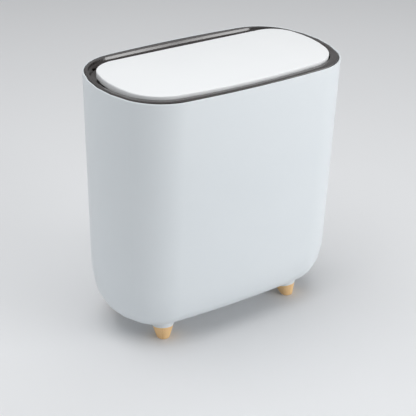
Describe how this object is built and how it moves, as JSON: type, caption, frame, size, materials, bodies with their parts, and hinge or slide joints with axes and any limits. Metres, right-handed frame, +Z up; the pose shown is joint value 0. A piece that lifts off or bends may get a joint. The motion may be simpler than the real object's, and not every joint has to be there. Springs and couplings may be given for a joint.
{
  "type": "push top bin",
  "caption": "Slim push top bin: bowed body on short wooden feet, lift-off ring, sprung lid that a press-to-release latch holds shut.",
  "frame": {"origin": "middle of the footprint, on the surface the feet stand on", "axes": "+Z up, +X along the length to the right, the front faces -Y"},
  "size_m": [0.3, 0.1726, 0.3123],
  "materials": {
    "body_plastic": "satin",
    "lid_plastic": "satin",
    "ring_plastic": "gloss",
    "liner_plastic": "satin",
    "latch_plastic": "satin",
    "housing_plastic": "matte",
    "beech": "clear matt lacquer",
    "steel": "zinc plated",
    "soft_rubber": "matte"
  },
  "bodies": {
    "bin": {"body_shell": "body_plastic", "foot_front_left": "beech", "foot_front_right": "beech", "foot_rear_left": "beech", "foot_rear_right": "beech", "foot_screws": "steel"},
    "ring": {"top_ring": "ring_plastic", "latch_housing": "housing_plastic", "latch_screws": "steel", "cam_pin": "steel", "latch_spring": "steel", "torsion_spring_left": "steel", "torsion_spring_right": "steel", "lid_bumpers": "soft_rubber"},
    "hinge": {"hinge_rod": "steel", "rod_clips": "steel"},
    "lid": {"lid_cover": "lid_plastic", "lid_liner": "liner_plastic", "lid_screws": "steel", "strike": "latch_plastic", "strike_screws": "steel"},
    "plunger": {"latch_plunger": "latch_plastic", "latch_claws": "latch_plastic"}
  },
  "joints": [
    {"name": "ring_lift", "type": "slide", "parent": "bin", "child": "ring", "axis": [0, 0, 1], "range_m": [0, 0.08]},
    {"name": "lid_press", "type": "hinge", "parent": "ring", "child": "hinge", "pos_m": [0, 0.05875, 0.3026], "axis": [-1, 0, 0], "range_deg": [-1.2, 0], "stiffness_Nm_per_rad": 5, "springref_deg": 5.73, "deforming": ["latch_spring", "torsion_spring_left", "torsion_spring_right"]},
    {"name": "lid_open", "type": "hinge", "parent": "hinge", "child": "lid", "pos_m": [0, 0.05875, 0.3026], "axis": [-1, 0, 0], "range_deg": [0, 80], "deforming": ["torsion_spring_left", "torsion_spring_right", "latch_claws"]},
    {"name": "plunger_slide", "type": "slide", "parent": "ring", "child": "plunger", "axis": [0, 0, 1], "range_m": [-0.00265, 0], "deforming": ["latch_spring"]}
  ],
  "couplings": [
    {"joint": "plunger_slide", "follows": "lid_press", "m_per_rad": 0.1267}
  ]
}
